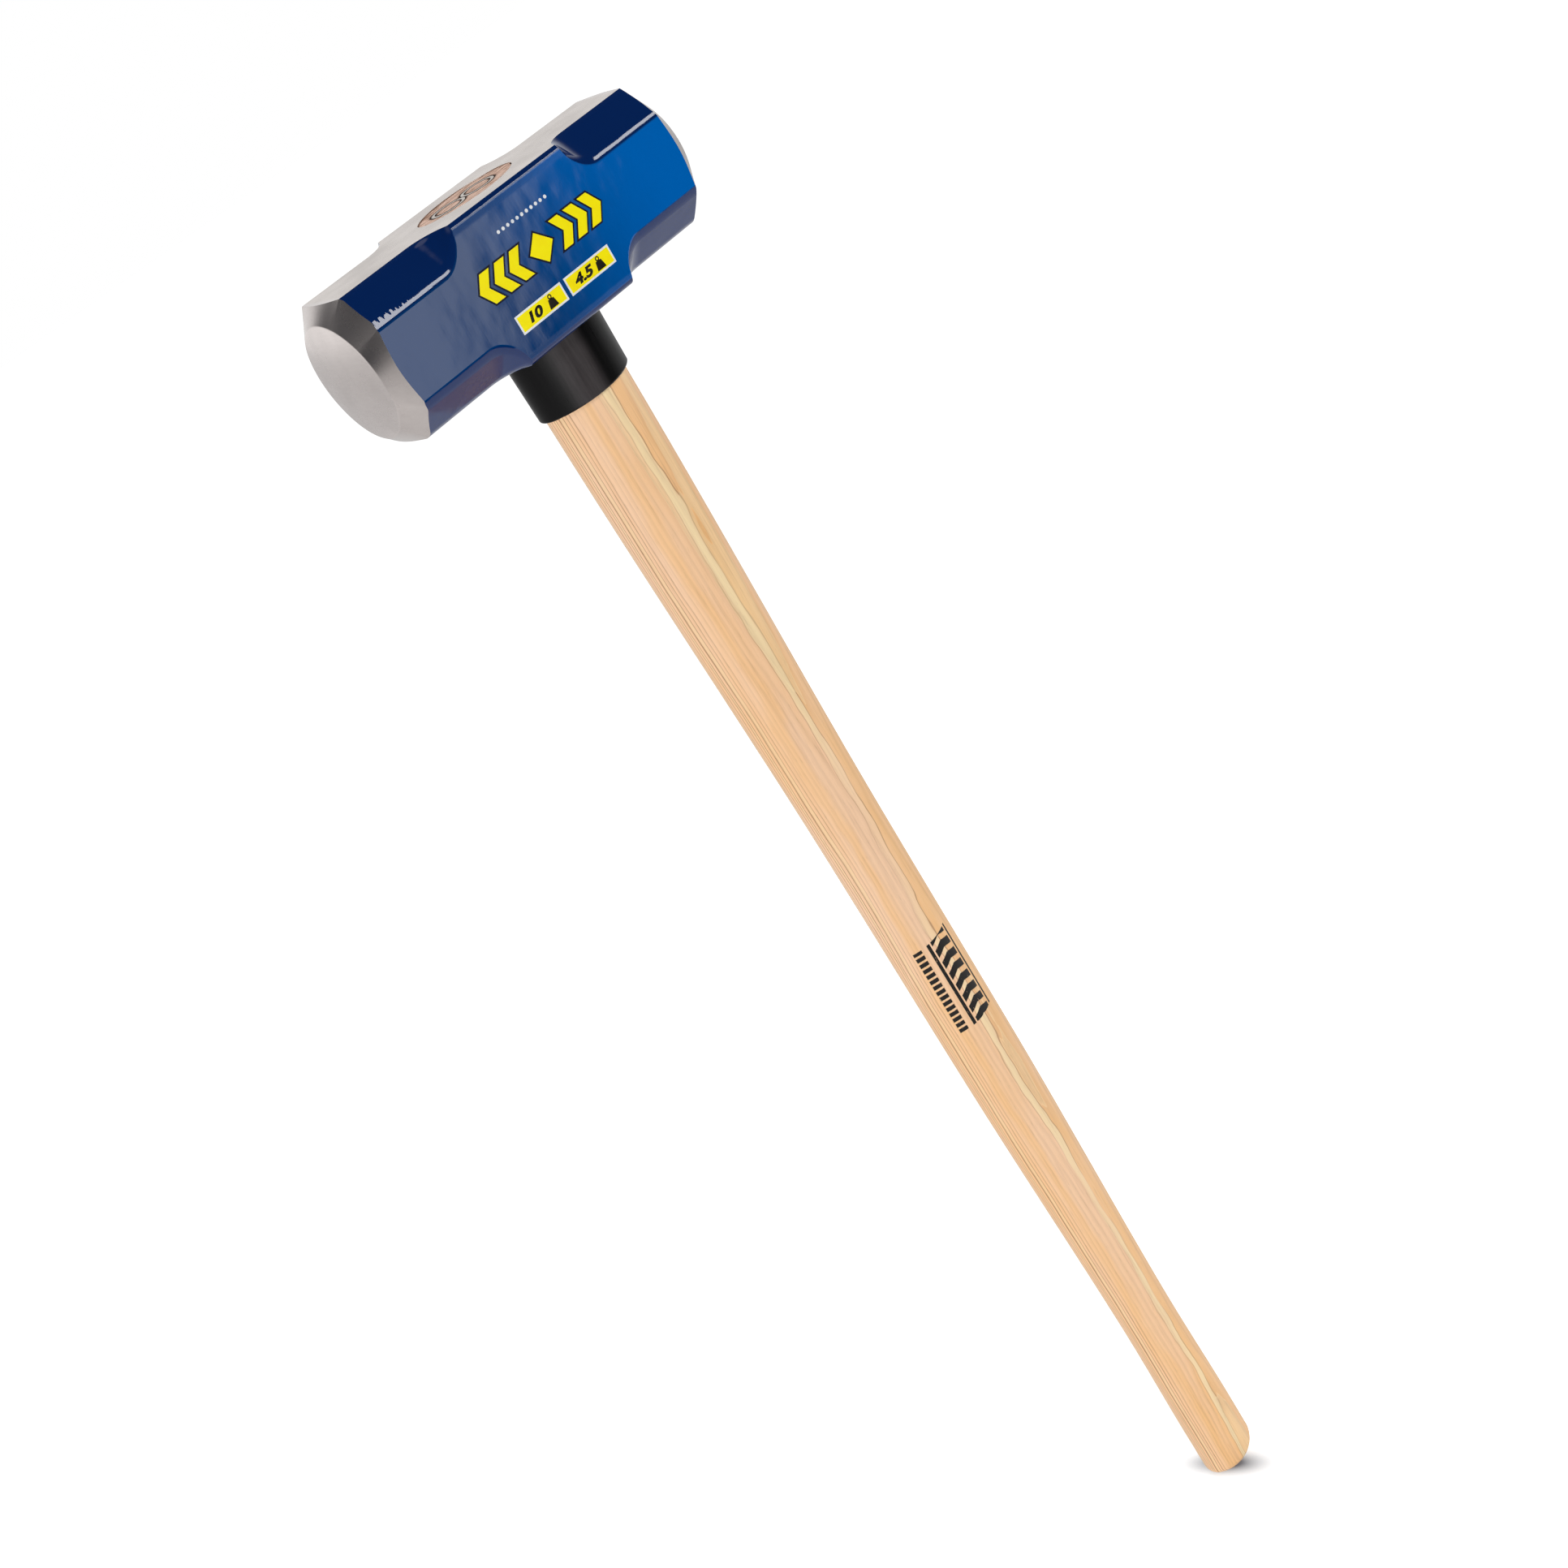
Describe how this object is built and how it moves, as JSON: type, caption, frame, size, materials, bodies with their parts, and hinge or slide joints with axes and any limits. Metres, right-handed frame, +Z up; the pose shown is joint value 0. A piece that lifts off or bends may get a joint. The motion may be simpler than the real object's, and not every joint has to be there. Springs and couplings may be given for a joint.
{
  "type": "sledgehammer",
  "caption": "Double face sledgehammer: square steel head with chamfered ends on a long oval wooden handle, wedged in the eye, with a guard collar below the head.",
  "frame": {"origin": "middle of the flat butt of the handle, where the upright hammer rests", "axes": "+Z up along the handle to the head, X along the head from striking face to striking face, labels on the -Y side"},
  "size_m": [0.181, 0.0637, 0.914],
  "materials": {
    "head_paint": "gloss blue paint on forged steel, ground bare on the top, bevels and striking faces",
    "ground_steel": "ground",
    "hickory": "clear satin lacquer",
    "wedge_wood": "sawn and sanded flush",
    "collar_rubber": "satin",
    "label_yellow": "gloss film",
    "label_white": "gloss film"
  },
  "bodies": {
    "root": {"head": "head_paint", "handle": "hickory", "wooden_wedge": "wedge_wood", "ring_wedge_left": "ground_steel", "ring_wedge_right": "ground_steel", "overstrike_collar": "collar_rubber", "emblem_label": "label_yellow", "dotted_line_label": "label_white", "weight_label_pounds": "label_yellow", "weight_label_kilos": "label_yellow"}
  },
  "joints": []
}
